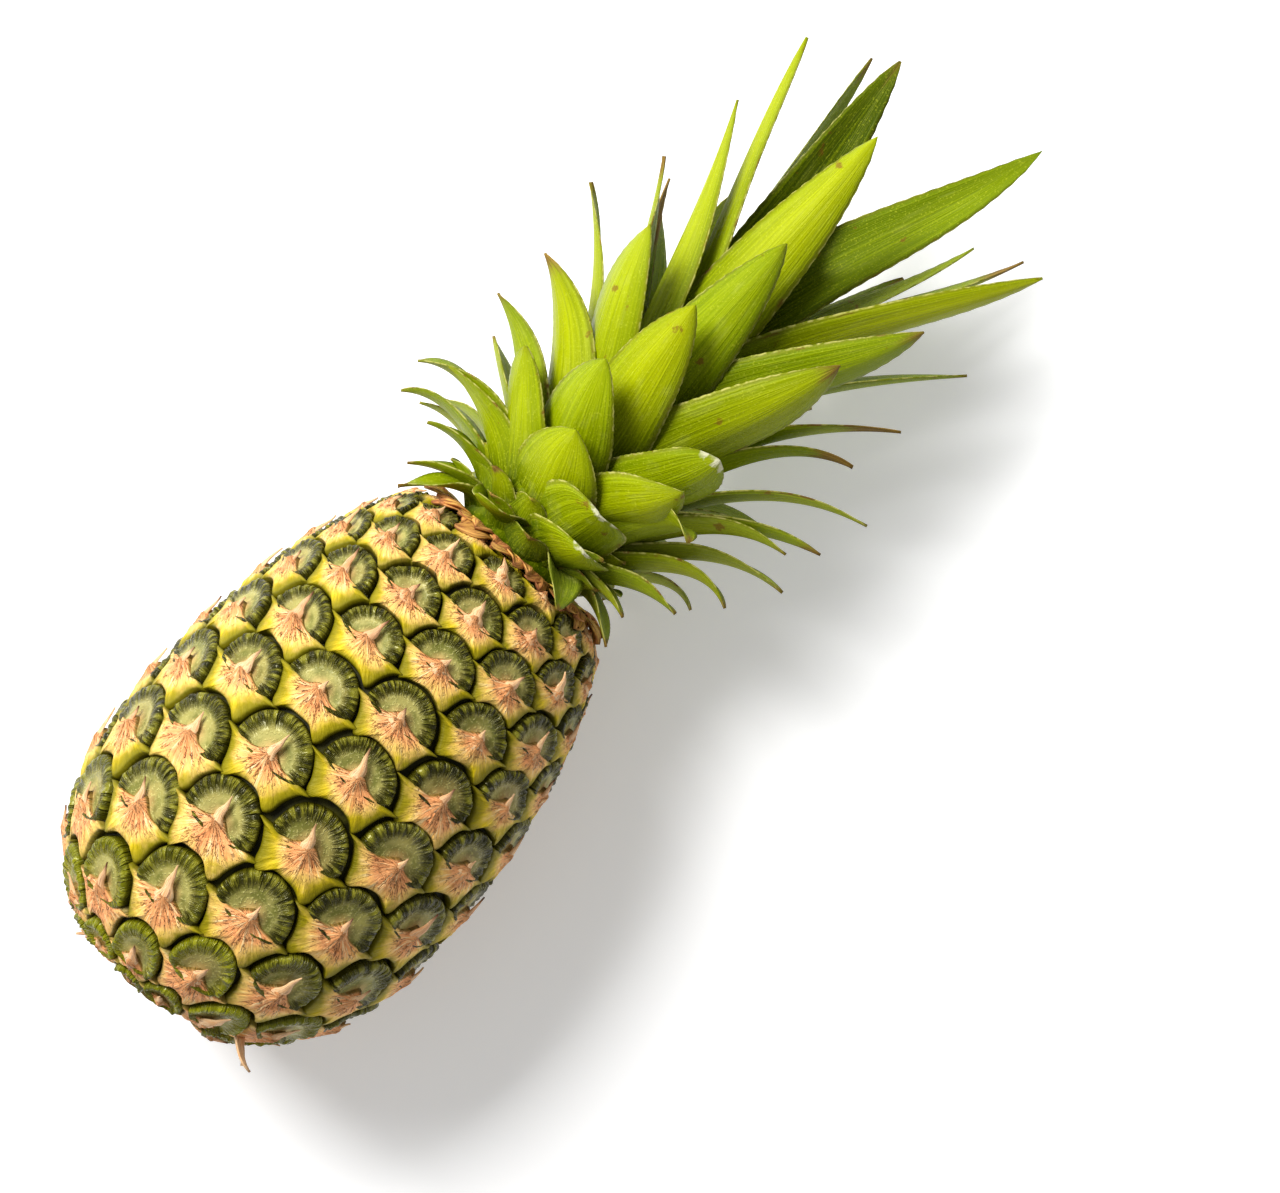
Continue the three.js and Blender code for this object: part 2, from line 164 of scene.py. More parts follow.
def read_template(made):
    """A template's points and faces, after which its object is removed."""
    mesh = made.data
    points = np.array([vertex.co[:] for vertex in mesh.vertices])
    faces = [tuple(face.vertices) for face in mesh.polygons]
    bpy.data.objects.remove(made, do_unlink=True)
    bpy.data.meshes.remove(mesh)
    return points, faces


# %% [markdown]
# Finishes are built from nodes. A small class wraps a socket, so that sums on masks can be written as
# plain Python, and one method makes every other node.

# %% Sockets as numbers
class Mask:
    """A socket that holds a number, with the operators of plain sums."""

    def __init__(self, finish, socket):
        self.finish, self.socket = finish, socket

    def sum(self, operation, a, b):
        return self.finish.node("ShaderNodeMath", {"operation": operation}, {0: a, 1: b})

    def __add__(self, other):
        return self.sum("ADD", self, other)

    __radd__ = __add__

    def __sub__(self, other):
        return self.sum("SUBTRACT", self, other)

    def __rsub__(self, other):
        return self.sum("SUBTRACT", other, self)

    def __mul__(self, other):
        return self.sum("MULTIPLY", self, other)

    __rmul__ = __mul__

    def size(self):
        return self.sum("ABSOLUTE", self, 0)

    def between(self, low, high):
        """0 at low and 1 at high, smooth between; low may be the greater."""
        return self.finish.node(
            "ShaderNodeMapRange",
            {"interpolation_type": "SMOOTHSTEP", "clamp": True},
            {"Value": self, "From Min": low, "From Max": high},
        )


# %% A finish and its nodes
def paint(red, green, blue):
    """A colour as seen on a screen, from 0 to 255, as the linear colour that a shader takes, by the
    usual sRGB curve."""
    seen = [channel / 255 for channel in (red, green, blue)]
    return [c / 12.92 if c <= 0.04045 else ((c + 0.055) / 1.055) ** 2.4 for c in seen] + [1.0]


PLAIN_GLINT, WARM_GLINT = (1, 1, 1, 1), (1, 0.96, 0.6, 1)


class Finish:
    """A material under construction."""

    def __init__(self, name, roughness, specular, glint=PLAIN_GLINT):
        self.material = bpy.data.materials.new(name)
        self.material.use_nodes = True
        self.tree = self.material.node_tree
        self.shader = self.tree.nodes["Principled BSDF"]
        self.shader.inputs["Roughness"].default_value = roughness
        self.shader.inputs["Specular IOR Level"].default_value = specular
        self.shader.inputs["Specular Tint"].default_value = glint

    def node(self, kind, settings, values, output=0):
        made = self.tree.nodes.new(kind)
        for name, value in settings.items():
            setattr(made, name, value)
        for name, value in values.items():
            if isinstance(value, Mask):
                self.tree.links.new(value.socket, made.inputs[name])
            else:
                made.inputs[name].default_value = value
        return Mask(self, made.outputs[output])

    def mark(self, name):
        return self.node("ShaderNodeAttribute", {"attribute_name": name}, {}, output="Fac")

    def surface(self):
        """The two coordinates of the piece's UV map."""
        uv = self.node("ShaderNodeUVMap", {"uv_map": "surface"}, {})
        across = self.node("ShaderNodeSeparateXYZ", {}, {0: uv}, output=0)
        along = self.node("ShaderNodeSeparateXYZ", {}, {0: uv}, output=1)
        return across, along

    def vector(self, x, y, z):
        return self.node("ShaderNodeCombineXYZ", {}, {0: x, 1: y, 2: z})

    def place(self):
        return self.node("ShaderNodeTexCoord", {}, {}, output="Object")

    def noise(self, vector, scale, detail=3.0, roughness=0.55):
        return self.node(
            "ShaderNodeTexNoise", {},
            {"Vector": vector, "Scale": scale, "Detail": detail, "Roughness": roughness},
        )

    def blend(self, share, a, b):
        """The colour a, or b where the share is 1. Sockets 6 and 7 are the node's two colours."""
        return self.node("ShaderNodeMix", {"data_type": "RGBA"}, {0: share, 6: a, 7: b}, output=2)

    def relief(self, height, depth, strength):
        bump = self.node(
            "ShaderNodeBump", {}, {"Height": height, "Distance": depth, "Strength": strength}
        )
        self.tree.links.new(bump.socket, self.shader.inputs["Normal"])

    def set(self, name, mask):
        self.tree.links.new(mask.socket, self.shader.inputs[name])


# %% [markdown]
# The rind without its relief is a curve turned round the axis. A plain lathe would do for that, but the
# eyes have to lie along it, so the curve is kept as a rule: so far along the rind, this far from the axis.

# %% The curve of the rind
RIND = np.array([  # how far along the axis, and how far out from it
    [10.5, 0], [10, 8], [8.5, 14], [6, 21], [7.3, 27], [12, 34.5], [18, 41.5], [26, 48], [36, 53],
    [48, 56.6], [66, 58.3], [90, 57.8], [114, 54.8], [136, 50], [154, 43], [165, 36.6], [170, 28.5],
    [171.5, 18], [171.5, 0],
], float)


def smooth_curve(points, steps=24):
    """Points of a smooth curve through the given ones."""
    made = []
    last = len(points) - 1
    for i in range(last):
        before, start = points[max(i - 1, 0)], points[i]
        end, after = points[i + 1], points[min(i + 2, last)]
        lead, trail = (end - before) / 2, (after - start) / 2
        for t in np.arange(steps) / steps:
            cubic = (2 * start - 2 * end + lead + trail) * t**3
            made.append(cubic + (3 * end - 3 * start - 2 * lead - trail) * t**2 + lead * t + start)
    made.append(points[last])
    return np.array(made)


rind_points = smooth_curve(RIND)
rind_steps = np.linalg.norm(np.diff(rind_points, axis=0), axis=1)
rind_distance = np.concatenate([[0], np.cumsum(rind_steps)])
rind_slope = np.gradient(rind_points, rind_distance, axis=0)
rind_slope /= np.linalg.norm(rind_slope, axis=1)[:, None]
print("the rind is", round(rind_distance[-1], 1), "mm long from pole to pole")

# %% [markdown]
# Pineapple eyes sit on spirals. Here they stand in 15 rows, and each row starts 7/15 of an eye on from
# its neighbour, which gives 7 spirals one way and 8 the other. The eyes get shorter towards the crown.

# %% Where the eyes stand
ROWS = 15
ROW_SHIFT = 7 / 15
ROW_LEAN = math.radians(1.7)
FIRST_ROW_TURN = math.radians(17.5)
FIRST_ROW_OFFSET = 0.47
PLACE_1_AT = 37.8  # how far along the rind the place numbered 1 lies
BASE_PITCH, EYE_PITCH = 14, 29.4  # from one place to the next, before and after place 1
EYES_FROM, FULL_FROM, FULL_TO, EYES_TO = -0.35, 0.3, 8.9, 9.75  # places where the relief grows and fades


def distance_of(place):
    steps = place - 1
    before = PLACE_1_AT + steps * BASE_PITCH
    return np.where(steps < 0, before, PLACE_1_AT + EYE_PITCH * steps - steps * steps)


def row_turn(row, place):
    return FIRST_ROW_TURN + row * 2 * math.pi / ROWS - ROW_LEAN * place


def row_offset(row):
    return (FIRST_ROW_OFFSET + row * ROW_SHIFT) % 1


def on_rind(row, place, height):
    """The point so high above the rind, at a place that counts in rows round it and eyes along it."""
    row, place, height = np.broadcast_arrays(row, place, height)
    distance = distance_of(place)
    along = np.interp(distance, rind_distance, rind_points[:, 0])
    radius = np.interp(distance, rind_distance, rind_points[:, 1])
    out_along = -np.interp(distance, rind_distance, rind_slope[:, 1])
    out_radius = np.interp(distance, rind_distance, rind_slope[:, 0])
    swell = ease(place, EYES_FROM, FULL_FROM) * (1 - ease(place, FULL_TO, EYES_TO))
    lift = height * swell
    return around_axis(along + out_along * lift, radius + out_radius * lift, row_turn(row, place))


FIRST_PLACE, LAST_PLACE = -0.05, 9.5
NUMBERS_A_ROW = 16
STRAY = 0.05  # how far an eye stands out of line, as a share of the pitch

eyes = []
for row in range(ROWS):
    for eye in range(-1, 10):
        place = row_offset(row) + eye
        number = row * NUMBERS_A_ROW + eye
        if FIRST_PLACE < place < LAST_PLACE:
            aside, ahead = draw(number, 5) - 0.5, draw(number, 6) - 0.5
            eyes.append((row + STRAY * aside, place + STRAY * ahead, number))
print(len(eyes), "eyes")

# %% [markdown]
# Under the eyes lies the skin of the grooves, which shows only as dark lines. Its colour is its own dark
# olive, painted darker still as shade for the depth of the grooves. It is a grid that is rolled round the
# fruit: a grid primitive gives the faces, and each point is then laid on the curve.

# %% The dark skin between the eyes
GROOVE = -2.1
SKIN_COLUMNS, SKIN_LINES = 150, 130
SKIN_FROM, SKIN_TO = -1.7, 11.5  # places past both poles, where the grid closes to a point


def rolled_skin():
    deselect()
    bpy.ops.mesh.primitive_grid_add(x_subdivisions=SKIN_COLUMNS, y_subdivisions=SKIN_LINES, size=2)
    points, faces = read_template(bpy.context.object)
    row = (points[:, 0] + 1) / 2 * ROWS
    place = mix(SKIN_FROM, SKIN_TO, (points[:, 1] + 1) / 2)
    laid = on_rind(row, place, GROOVE)
    gather = Gather()
    gather.add(laid, faces, np.stack([row, place], axis=1))
    return gather


# %% [markdown]
# The pad of an eye is what the flower has left: a half disc with a puckered rim round a sunken middle.
# A circle is inset again and again, as by hand, to get rings of faces, and the centre is poked. The
# rings are then given their heights and the half-disc outline.

# %% A disc of rings
def disc_template(sides, radii):
    """A disc whose rings stand at these shares of its radius, from the edge in, with one point in the
    centre. Gives each point's share of the turn and share of the way out, and the faces."""
    deselect()
    bpy.ops.mesh.primitive_circle_add(vertices=sides, radius=1, fill_type="NGON")
    made = bpy.context.object
    bpy.ops.object.mode_set(mode="EDIT")
    bpy.ops.mesh.select_all(action="SELECT")
    shrink = math.cos(math.pi / sides)
    for outer, inner in zip(radii, radii[1:]):
        bpy.ops.mesh.inset(thickness=(outer - inner) * shrink)
    bpy.ops.mesh.poke()
    bpy.ops.object.mode_set(mode="OBJECT")
    points, faces = read_template(made)
    turn = np.arctan2(points[:, 1], points[:, 0]) / (2 * math.pi) % 1
    out = np.hypot(points[:, 0], points[:, 1])
    return turn, out, faces


PAD_RINGS = [1, 0.965, 0.93, 0.89, 0.84, 0.78, 0.71, 0.63, 0.54, 0.42, 0.28, 0.14]
pad_turn, pad_out, pad_faces = disc_template(56, PAD_RINGS)
print("a pad has", len(pad_faces), "faces")

# %% Shaping a pad
PAD_HALF_WIDTH, PAD_LENGTH, PAD_HEEL = 0.53, 0.555, 0.15
PAD_FOOT = 0.03
PAD_UPPER = 0.84  # share of the outline that is the round upper side
PUCKER_OUT, PUCKER_UP = 0.012, 0.22
PAD_HEIGHTS = [  # the share of the way out, and the height over the rind there
    (0, 0.9), (0.12, 0.5), (0.3, 0.3), (0.5, 0.45), (0.64, 0.95), (0.76, 1.5), (0.86, 1.75),
    (0.92, 1.5), (0.965, 0.8), (1, -2.4),
]


def pad_of(row, place, number):
    upper = pad_turn < PAD_UPPER
    over_top = math.pi * pad_turn / PAD_UPPER
    over_heel = math.pi * (1 + (pad_turn - PAD_UPPER) / (1 - PAD_UPPER))
    angle = np.where(upper, over_top, over_heel)
    pucker = sum(
        draw(number, 40 + k) * np.sin(k * angle + ANY_PHASE * draw(number, 50 + k)) for k in range(2, 8)
    )
    reach = pad_out * (1 + PUCKER_OUT * pucker * ease(pad_out, 0.4, 0.9))
    reach = reach * mix(0.98, 1.05, draw(number, 60))
    across = PAD_HALF_WIDTH * np.cos(angle) * reach
    along = PAD_FOOT + np.where(upper, PAD_LENGTH, PAD_HEEL) * np.sin(angle) * reach
    height = np.interp(pad_out, *np.array(PAD_HEIGHTS).T)
    puff = 1 + 0.5 * (1 - ease(place, 0.6, 2.4))
    lobes = np.abs(np.sin(mix(8, 11, draw(number, 62)) * angle + 9 * draw(number, 61) + 0.5 * pucker))
    folds = 0.5 * lobes + 0.2 * np.sin(27 * angle + number) - 0.3
    rim_folds = folds * ease(pad_out, 0.6, 0.82) * (1 - ease(pad_out, 0.92, 0.98))
    height = height * np.where(height > 0, puff, 1) + rim_folds
    height = height + PUCKER_UP * pucker * ease(pad_out, 0.3, 0.8) * (pad_out < 0.95)
    return on_rind(row + across, place + along, height), np.stack([angle / math.pi, pad_out], axis=1)


# %% [markdown]
# Below each pad lies its bract: a fleshy leaf that clasps the eye, drawn out into two arms at its top
# edge and a dry point in the middle. Its outline follows the rims of the pads round it, so it is a star
# with hollow sides. Its rings come from the same kind of disc, pulled out to that star.

# %% The outline of a bract
BRACT_HEART = np.array([0.0, -0.2])
BRACT_OUTLINE = np.array([  # across and along from the middle of the eye, in places
    [0.49, -0.2], [0.57, -0.08], [0.69, -0.01], [0.5, 0.0], [0.3, 0.005], [0.17, 0.04], [0.08, 0.11],
    [0, 0.16], [-0.08, 0.11], [-0.17, 0.04], [-0.3, 0.005], [-0.5, 0.01], [-0.69, 0.0], [-0.57, -0.07],
    [-0.49, -0.2], [-0.44, -0.33], [-0.41, -0.45], [-0.34, -0.53], [-0.25, -0.46], [-0.13, -0.405],
    [0, -0.39], [0.13, -0.405], [0.25, -0.46], [0.34, -0.53], [0.41, -0.45], [0.44, -0.33],
])


def closed_curve(points, steps=12):
    looped = np.concatenate([points[-2:], points, points[:3]])
    return smooth_curve(looped, steps)[2 * steps : (len(points) + 2) * steps]


bract_edge = closed_curve(BRACT_OUTLINE)
BRACT_RINGS = [1, 0.985, 0.955, 0.91, 0.85, 0.77, 0.67, 0.55, 0.42, 0.28, 0.14]
bract_turn, bract_out, bract_faces = disc_template(60, BRACT_RINGS)
print("a bract has", len(bract_faces), "faces")

# %% Shaping a bract
BRACT_WIDEN = 1.03
RAGGED_ACROSS, RAGGED_ALONG = 0.014, 0.006
POINT_PLACE = 0.05  # where the bract's dry point has its foot, up from the middle of the eye
BRACT_HEIGHTS = [  # as for the pads
    (0, 2.0), (0.28, 1.95), (0.5, 1.75), (0.7, 1.45), (0.85, 1.15), (0.93, 0.9), (0.975, 0.6), (1, -2.4)
]


def bract_of(row, place, number):
    steps = len(bract_edge)
    at = bract_turn * steps
    edge = np.stack([
        np.interp(at, range(steps + 1), np.append(bract_edge[:, k], bract_edge[0, k])) for k in (0, 1)
    ], axis=1)
    spot = BRACT_HEART + (edge - BRACT_HEART) * bract_out[:, None]
    across, along = spot.T
    ragged = sum(
        draw(number, 72 + k) * np.sin(k * 2 * math.pi * bract_turn + ANY_PHASE * draw(number, 84 + k))
        for k in range(3, 11)
    )
    across = across * (BRACT_WIDEN + RAGGED_ACROSS * ragged)
    along = along + RAGGED_ALONG * ragged * ease(bract_out, 0.3, 0.9)
    height = np.interp(bract_out, *np.array(BRACT_HEIGHTS).T)
    fan = np.arctan2(across, POINT_PLACE - along)
    inside = bract_out < 0.98
    peak = 1.1 * np.exp(-((across / 0.1) ** 2) - ((along - 0.02) / 0.09) ** 2)
    keel = 0.5 * np.exp(-((across / 0.09) ** 2)) * ease(along, -0.4, 0)
    ribs = 0.16 * np.sin(13 * fan + 6 * draw(number, 70)) + 0.12 * np.sin(29 * fan + number)
    lip = 0.45 * ease(along, -0.1, 0.0) * ease(np.abs(across), 0.08, 0.3)
    lean = (draw(number, 71) - 0.5) * across
    height = height + inside * (peak + keel + lip + lean + ribs * (1 - ease(bract_out, 0.7, 0.95)))
    distance = np.hypot(across, POINT_PLACE - along)
    return on_rind(row + across, place + along, height), np.stack([fan / math.pi, distance], axis=1)


# %% [markdown]
# The finish of a pad runs from a pale grey-green middle over fine radial folds to a glossy dark rim. Near
# the base of the fruit the rims are still green. The folds are streaks in the UV map, which holds the
# turn round the pad and the share of the way out. They are painted darker in their grooves and lighter on
# their ridges, as painted shade and painted highlight, and the outer edge is painted dark as shade where
# it runs down into the groove.

# %% Finish of the pads
def pad_finish():
    finish = Finish("eye_pad", roughness=0.4, specular=0.3, glint=WARM_GLINT)
    turn, out = finish.surface()
    tone, green = finish.mark("tone"), finish.mark("green")
    ribs = finish.noise(finish.vector(turn * 22, out * 1.3, tone * 40), 1.0, 3.0, 0.6).between(0.38, 0.62)
    grain = finish.noise(finish.place(), 1300.0, 2.0).between(0.5, 0.75)
    patches = finish.noise(finish.vector(turn * 3, out * 3, tone * 20), 1.0, 3.0).between(0.35, 0.65)
    brown = finish.noise(finish.place(), 60.0, 3.0).between(0.45, 0.7)
    middle = finish.blend(patches, paint(160, 152, 84), paint(108, 108, 46))
    middle = finish.blend(out.between(0.45, 0.05) * 0.7, middle, paint(216, 166, 108))
    middle = finish.blend(brown * 0.35, middle, paint(120, 84, 48))
    body = finish.blend(out.between(0.5, 0.8), middle, paint(78, 76, 14))
    # Painted shade: the body is darkened in the grooves of the folds.
    body = finish.blend(ribs * out.between(0.52, 0.75) * 0.8, body, paint(40, 38, 5))
    body = finish.blend(green * out.between(0.45, 0.75) * 0.85, body, paint(156, 150, 16))
    # The rim's own colour is dark olive; it is painted lighter on the ridges of the folds, as a painted
    # highlight, and darker in their grooves, as painted shade.
    edge = finish.blend(ribs, paint(122, 118, 34), paint(26, 26, 2))
    edge = finish.blend(green * 0.85, edge, paint(140, 142, 2))
    colour = finish.blend(out.between(0.7, 0.84), body, edge)
    # Painted shade: the outer edge is darkened where it runs down into the groove.
    colour = finish.blend(out.between(0.94, 0.99), colour, paint(60, 57, 2))
    colour = finish.blend(grain * out.between(0.8, 0.5) * 0.6, colour, paint(208, 200, 124))
    finish.set("Base Color", colour)
    finish.set("Roughness", 0.22 + grain * 0.2 + out.between(0.6, 0.4) * 0.35)
    finish.relief(grain * 0.15 - ribs * out.between(0.52, 0.75), 0.0011, 1.0)
    return finish.material


# %% [markdown]
# A bract is yellow-green at its margins and cream on its back, and turns pink and tan with red-brown
# streaks round the foot of its dry point. The UV map holds the turn and distance from that foot, so the
# streaks fan out from it.

# %% Finish of the bracts
def bract_finish():
    finish = Finish("bract", roughness=0.55, specular=0.22, glint=WARM_GLINT)
    fan, reach = finish.surface()
    tone, edge, blush = finish.mark("tone"), finish.mark("edge"), finish.mark("blush")
    place = finish.place()
    fine = finish.noise(finish.vector(fan * 34, reach * 3, tone * 30), 1.0, 4.0, 0.65)
    cracks = finish.noise(finish.vector(fan * 11, reach * 2.2, tone * 60), 1.0, 4.0, 0.7)
    cracks = (cracks - 0.5).size().between(0.022, 0.0)
    blotch = finish.noise(place, 140.0, 3.0)
    grain = finish.noise(place, 900.0, 2.0)
    warm = (blotch - 0.5) * 1.1 + reach.between(0.64, 0.0) * 1.3 + blush * 0.8 - 0.22
    flesh = finish.blend(fine.between(0.4, 0.65), paint(182, 158, 4), paint(226, 196, 34))
    flesh = finish.blend(edge.between(0.45, 0.9) * 0.85, flesh, paint(112, 106, 2))
    flesh = finish.blend(warm.between(0.05, 0.55) * 0.9, flesh, paint(248, 202, 112))
    flesh = finish.blend(warm.between(0.35, 0.95) * 0.85, flesh, paint(242, 158, 104))
    heart = warm.between(0.1, 0.7)
    flesh = finish.blend(fine.between(0.52, 0.68) * heart * 0.85, flesh, paint(255, 230, 172))
    flesh = finish.blend(fine.between(0.45, 0.32) * heart * 0.7, flesh, paint(190, 100, 50))
    flesh = finish.blend(cracks * heart * reach.between(0.55, 0.3) * 0.9, flesh, paint(116, 46, 24))
    # Painted shade: the edge is darkened where it runs down into the groove.
    flesh = finish.blend(edge.between(0.86, 0.96) * 0.8, flesh, paint(92, 86, 2))
    flesh = finish.blend(edge.between(0.97, 1.0), flesh, paint(56, 52, 2))
    finish.set("Base Color", flesh)
    finish.set("Roughness", 0.42 + grain * 0.25)
    finish.relief(fine * 0.9 + grain * 0.2 - cracks * heart * 0.7, 0.0008, 0.9)
    return finish.material


# %% Finish of the grooves
def groove_finish():
    finish = Finish("groove", roughness=0.6, specular=0.15)
    grain = finish.noise(finish.place(), 260.0, 3.0)
    # Painted shade: the skin's dark olive is painted darker still, for the shade deep in the grooves.
    finish.set("Base Color", finish.blend(grain.between(0.35, 0.7), paint(26, 25, 2), paint(58, 56, 5)))
    finish.relief(grain, 0.0006, 0.6)
    return finish.material


# %% The skin, pads and bracts are made
rolled_skin().piece("groove_skin", groove_finish(), "fruit", "rind")

pads, bracts = Gather(), Gather()
for row, place, number in eyes:
    points, surface = pad_of(row, place, number)
    green = (1 - ease(place, 0.5, 2.7)) * mix(0.5, 1, draw(number, 83))
    pads.add(points, pad_faces, surface, tone=draw(number, 80), green=green)
    points, surface = bract_of(row, place, number)
    blush = 0.6 * (1 - ease(place, 0.6, 3.4)) + 0.5 * draw(number, 81)
    bracts.add(points, bract_faces, surface, tone=draw(number, 82), edge=bract_out, blush=blush)
pads.piece("eye_pads", pad_finish(), "fruit", "rind")
bracts.piece("bracts", bract_finish(), "fruit", "rind")

# %% [markdown]
# Each bract ends in a dry point that lies over its pad, though many have broken off short. It is a
# narrow blade with a keel. A grid is given a thickness, and every copy is bent to its own line.

# %% A blade template
def blade_template(across, along):
    """A sheet with two faces and closed edges: each point's place across from -1 to 1, along from 0 to 1
    and side from -1 to 1, and the faces."""
    deselect()
    bpy.ops.mesh.primitive_grid_add(x_subdivisions=across, y_subdivisions=along, size=2)
    made = bpy.context.object
    thicken = made.modifiers.new("thickness", "SOLIDIFY")
    thicken.thickness, thicken.offset = 2, 0
    bpy.ops.object.modifier_apply(modifier=thicken.name)
    points, faces = read_template(made)
    return points[:, 0], (points[:, 1] + 1) / 2, points[:, 2], faces


def blade_map(template):
    return np.stack(template[:2], axis=1)


def lay_blade(template, line, face_turn, width, thick, arch):
    """The template bent along a line of points, its outer face turned away from the axis at face_turn.
    width, thick and arch are functions of the share along and across."""
    across, along, side = template[:3]
    steps = np.linalg.norm(np.diff(line, axis=0), axis=1)
    distance = np.concatenate([[0], np.cumsum(steps)])
    slope = np.gradient(line, distance, axis=0)
    at = along * distance[-1]
    middle = np.stack([np.interp(at, distance, line[:, k]) for k in range(3)], axis=1)
    tangent = np.stack([np.interp(at, distance, slope[:, k]) for k in range(3)], axis=1)
    tangent /= np.linalg.norm(tangent, axis=1)[:, None]
    sideways = around_axis(0.0, 1.0, face_turn + math.pi / 2)
    sideways = sideways - (tangent * sideways).sum(axis=1)[:, None] * tangent
    sideways /= np.linalg.norm(sideways, axis=1)[:, None]
    outward = np.cross(sideways, tangent)
    aside = across * width(along, across)
    away = side * thick(along, across) / 2 - arch(along, across)
    return middle + sideways * aside[:, None] + outward * away[:, None]


def bezier(start, first, last, end, steps=60):
    t = np.linspace(0, 1, steps)[:, None]
    return (1 - t) ** 3 * start + 3 * (1 - t) ** 2 * t * first + 3 * (1 - t) * t**2 * last + t**3 * end


# %% The dry points
point_template = blade_template(4, 12)
CURVE_STEPS = 24
KEPT_SHARE = 0.55  # of the points that have not broken off
PLACE_LENGTH = 24  # millimetres from one eye to the next, near enough for a point
POINT_FOOT, POINT_OVER = 2.4, 2.2  # height of the foot, and of a flat point's tip
POINTS_TO = 9.1  # the last place with a point
WHOLE_LENGTH, STUMP_LENGTH = 10, 4
WHOLE_DRIFT, STUMP_DRIFT = 6, 3  # how far aside the tip may lie
POINT_LEAN = 0.15
ROOT_BACK, ROOT_IN = 2.6, 0.6  # how far the root lies behind the foot, and under it
NARROWEST, WIDEST = 6, 9


def dry_point(row, place, number):
    turn = row_turn(row, place)
    foot = on_rind(row, place, POINT_FOOT)
    outward = on_rind(row, place, POINT_FOOT + 1) - foot
    outward /= np.linalg.norm(outward)
    sideways = around_axis(0.0, 1.0, turn + math.pi / 2)
    up = np.cross(outward, sideways)
    up *= np.sign(up[0])
    kept = draw(number, 1) <= KEPT_SHARE
    length = WHOLE_LENGTH * (0.7 + 0.4 * draw(number, 2)) if kept else STUMP_LENGTH + 3 * draw(number, 90)
    lean = POINT_LEAN * (0.8 + 0.4 * draw(number, 3))
    drift = (draw(number, 4) - 0.5) * (WHOLE_DRIFT if kept else STUMP_DRIFT)
    tip_height = POINT_OVER + 0.5 * length * math.sin(lean)
    tip = on_rind(row, place + length / PLACE_LENGTH, tip_height) + sideways * drift
    start = foot - up * ROOT_BACK - outward * ROOT_IN
    first = foot + up * length * 0.15 + outward * 0.5
    last = mix(foot, tip, 0.68) - outward * 0.9 * (draw(number, 91) - 0.2) * 2
    wide = mix(NARROWEST, WIDEST, draw(number, 92))
    return lay_blade(
        point_template, bezier(start, first, last, tip, CURVE_STEPS), turn,
        lambda s, u: wide / 2 * (1 - s) ** 1.15 * (0.8 + 0.2 * np.cos(13 * s + number + 2 * u)) + 0.12,
        lambda s, u: mix(1.5, 0.5, s) * (1 - 0.6 * u * u),
        lambda s, u: mix(1.3, 0.3, s) * np.abs(u) * (1 - s),
    )


def point_finish():
    finish = Finish("dry_point", roughness=0.62, specular=0.35)
    across, along = finish.surface()
    tone = finish.mark("tone")
    fibres = finish.noise(finish.vector(across * 5, along * 3, tone * 50), 1.0, 4.0, 0.6)
    colour = finish.blend(fibres.between(0.35, 0.65), paint(214, 156, 102), paint(240, 206, 158))
    colour = finish.blend(tone.between(0.4, 1.0) * 0.4, colour, paint(196, 126, 80))
    colour = finish.blend(fibres.between(0.54, 0.66) * 0.8, colour, paint(132, 66, 36))
    colour = finish.blend(along.between(0.7, 1.0) * tone.between(0.2, 0.7), colour, paint(100, 54, 30))
    finish.set("Base Color", colour)
    finish.relief(fibres, 0.0004, 0.7)
    return finish.material


dry_points = Gather()
for row, place, number in eyes:
    if place < POINTS_TO:
        laid = dry_point(row, place, number)
        dry_points.add(laid, point_template[3], blade_map(point_template), tone=draw(number, 93))

# %% Three dry leaves left at the base
BASE_LEAVES = [
    ((10, -28, -4), (8, -36, -2), (2, -39, -8)),
    ((9, 16, 6), (6, 20, 12), (3, 24, 14)),
    ((13, -32, 22), (9, -37, 26), (8, -42, 24)),
]


def base_leaf(root, middle, tip):
    return lay_blade(
        point_template, bezier(root, middle, mix(middle, tip, 0.5), tip, CURVE_STEPS),
        math.atan2(-middle[1], middle[2]),
        lambda s, u: 2.4 * (1 - s) ** 0.8 + 0.1,
        lambda s, u: 0.8 - 0.3 * u * u,
        lambda s, u: 1.2 * u * u * (1 - s),
    )


for number, line in enumerate(np.array(BASE_LEAVES, float)):
    tone = 0.3 + 0.05 * number
    dry_points.add(base_leaf(*line), point_template[3], blade_map(point_template), tone=tone)
dry_points.piece("dry_points", point_finish(), "fruit", "rind")
